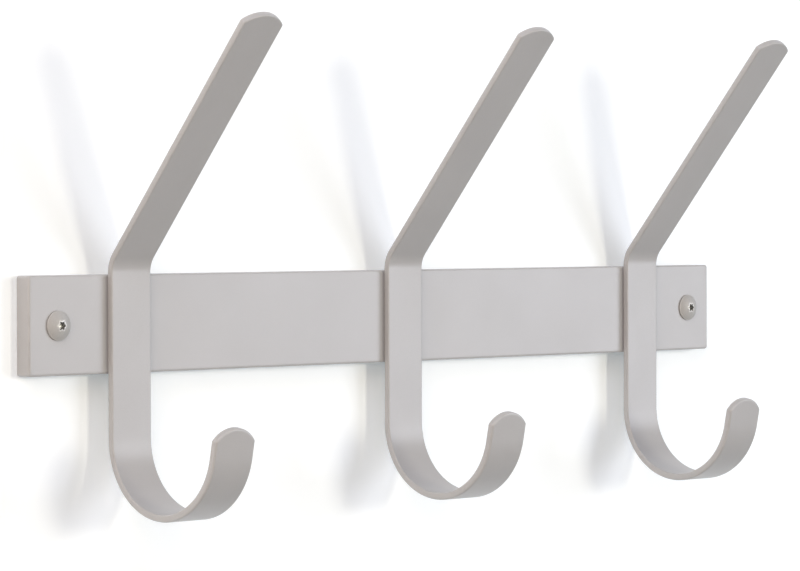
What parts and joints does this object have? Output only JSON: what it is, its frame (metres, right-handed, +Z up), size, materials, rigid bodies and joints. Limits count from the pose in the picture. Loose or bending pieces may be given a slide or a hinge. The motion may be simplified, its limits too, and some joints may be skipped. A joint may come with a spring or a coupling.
{
  "type": "wall hook rack",
  "caption": "Flat steel wall bar with bent strip hooks, each with a long leaning upper arm and a J below, fixed by dome-head wall screws.",
  "frame": {"origin": "the middle of the bar's back face, which lies on the wall", "axes": "+X along the bar, +Y out of the back face into the wall, +Z up; the hooks reach out along -Y"},
  "size_m": [0.417, 0.1326, 0.2007],
  "materials": {
    "bar_paint": "fine satin powder coat, light warm grey",
    "hook_paint": "fine satin powder coat, light warm grey",
    "screw_steel": "zinc-plated steel, head painted light grey",
    "stud_copper": "steel with a thin copper coat",
    "washer_zinc": "bright zinc-plated steel",
    "nut_zinc": "bright zinc-plated steel"
  },
  "bodies": {
    "root": {"back_bar": "bar_paint", "hook_left": "hook_paint", "hook_middle": "hook_paint", "hook_right": "hook_paint", "stud_left_upper": "stud_copper", "stud_left_lower": "stud_copper", "stud_middle_upper": "stud_copper", "stud_middle_lower": "stud_copper", "stud_right_upper": "stud_copper", "stud_right_lower": "stud_copper", "washer_left_upper": "washer_zinc", "washer_left_lower": "washer_zinc", "washer_middle_upper": "washer_zinc", "washer_middle_lower": "washer_zinc", "washer_right_upper": "washer_zinc", "washer_right_lower": "washer_zinc", "nut_left_upper": "nut_zinc", "nut_left_lower": "nut_zinc", "nut_middle_upper": "nut_zinc", "nut_middle_lower": "nut_zinc", "nut_right_upper": "nut_zinc", "nut_right_lower": "nut_zinc", "wall_screw_left": "screw_steel", "wall_screw_right": "screw_steel"}
  },
  "joints": []
}
